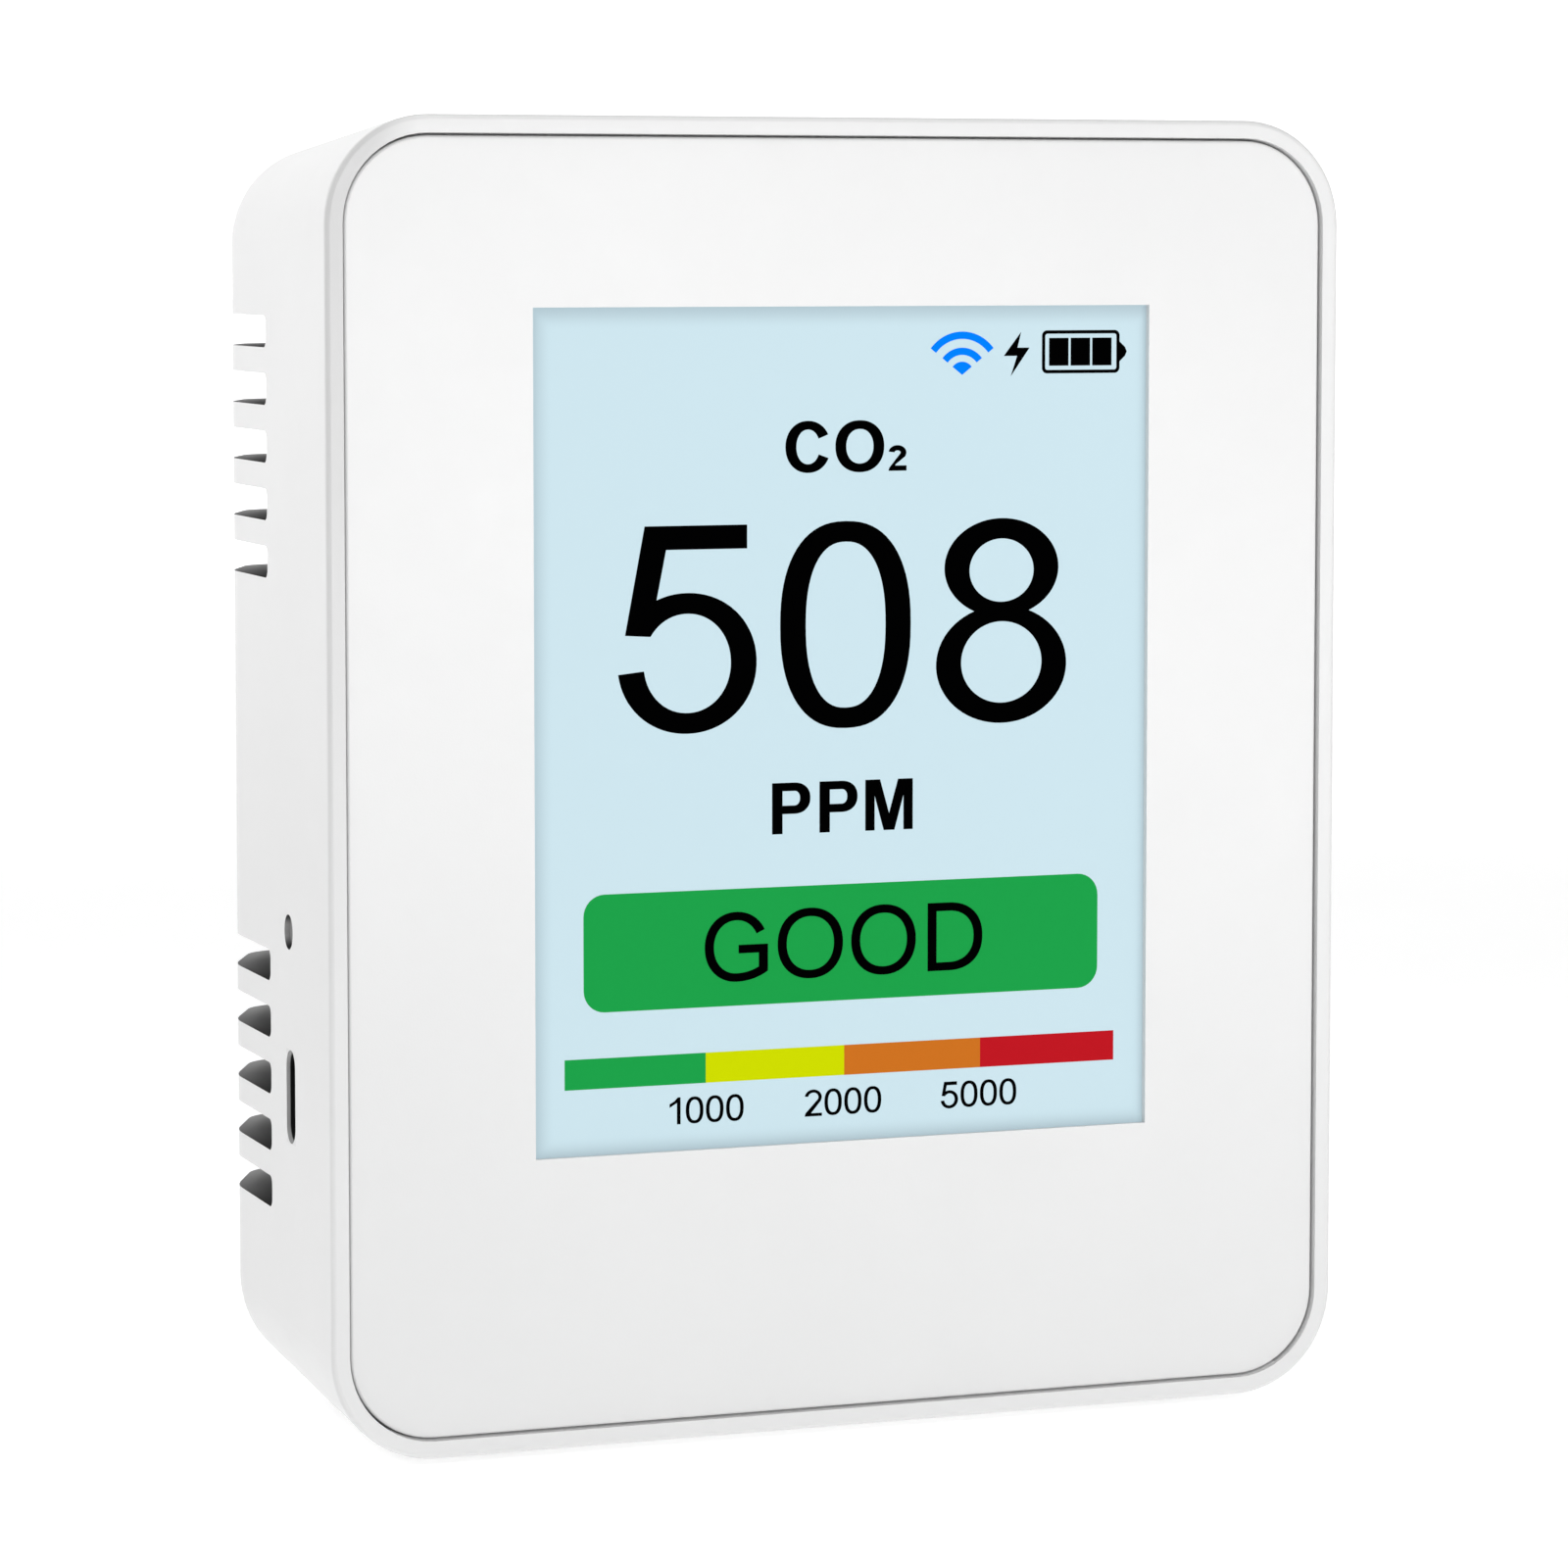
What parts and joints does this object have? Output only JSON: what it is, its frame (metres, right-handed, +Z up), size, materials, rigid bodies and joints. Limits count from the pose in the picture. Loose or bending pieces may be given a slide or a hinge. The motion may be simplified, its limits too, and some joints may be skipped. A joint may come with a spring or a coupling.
{
  "type": "carbon dioxide monitor",
  "caption": "Upright desk carbon dioxide monitor: deep vented tub, inset front plate with a colour readout, side reset button and charging port.",
  "frame": {"origin": "middle of the footprint, on the plane that the four rubber feet stand on", "axes": "+Z up, the display faces -Y, +X to the viewer's right"},
  "size_m": [0.108, 0.05, 0.1305],
  "materials": {
    "housing_white": "satin moulded ABS, off-white",
    "plate_white": "fine satin moulded ABS, off-white",
    "display_face": "front polariser with the printed readout, low gloss",
    "display_glass": "clear cell glass",
    "light_guide": "white light guide",
    "sheet_steel": "plain tin-plated sheet",
    "gasket_foam": "closed-cell foam",
    "flex_amber": "polyimide film",
    "connector_cream": "nylon",
    "connector_black": "glass-filled nylon",
    "board_green": "solder mask on laminate",
    "port_steel": "deep-drawn stainless shell",
    "button_grey": "matte ABS",
    "gold_plate": "thin gold plate",
    "filter_white": "porous membrane",
    "chip_black": "moulded epoxy",
    "can_aluminium": "drawn cans",
    "ferrite_grey": "moulded ferrite",
    "pouch_silver": "laminated foil pouch",
    "lead_red": "silicone insulation",
    "lead_black": "silicone insulation",
    "screw_steel": "black zinc",
    "foot_rubber": "soft moulded rubber"
  },
  "bodies": {
    "housing": {"rear_housing": "housing_white", "front_plate": "plate_white", "window_gasket": "gasket_foam", "lcd_polariser": "display_face", "lcd_glass": "display_glass", "backlight_panel": "light_guide", "display_frame": "sheet_steel", "display_flex": "flex_amber", "display_connector": "connector_black", "main_board": "board_green", "charging_port_shell": "port_steel", "charging_port_tongue": "connector_black", "switch_body": "sheet_steel", "co2_sensor_board": "board_green", "co2_sensor_pins": "gold_plate", "co2_sensor_chamber": "gold_plate", "co2_sensor_filter": "filter_white", "humidity_sensor": "chip_black", "wireless_board": "board_green", "wireless_shield": "sheet_steel", "buzzer": "connector_black", "board_chips": "chip_black", "board_capacitors": "can_aluminium", "power_inductor": "ferrite_grey", "battery_pad": "gasket_foam", "battery_cell": "pouch_silver", "battery_socket": "connector_cream", "battery_plug": "connector_cream", "battery_lead_red": "lead_red", "battery_lead_black": "lead_black", "case_screws": "screw_steel", "board_screws": "screw_steel", "rubber_feet": "foot_rubber"},
    "button": {"reset_button": "button_grey", "switch_plunger": "connector_black"}
  },
  "joints": [
    {"name": "reset_press", "type": "slide", "parent": "housing", "child": "button", "axis": [1, 0, 0], "range_m": [0, 0.0004], "stiffness_N_per_m": 400}
  ]
}
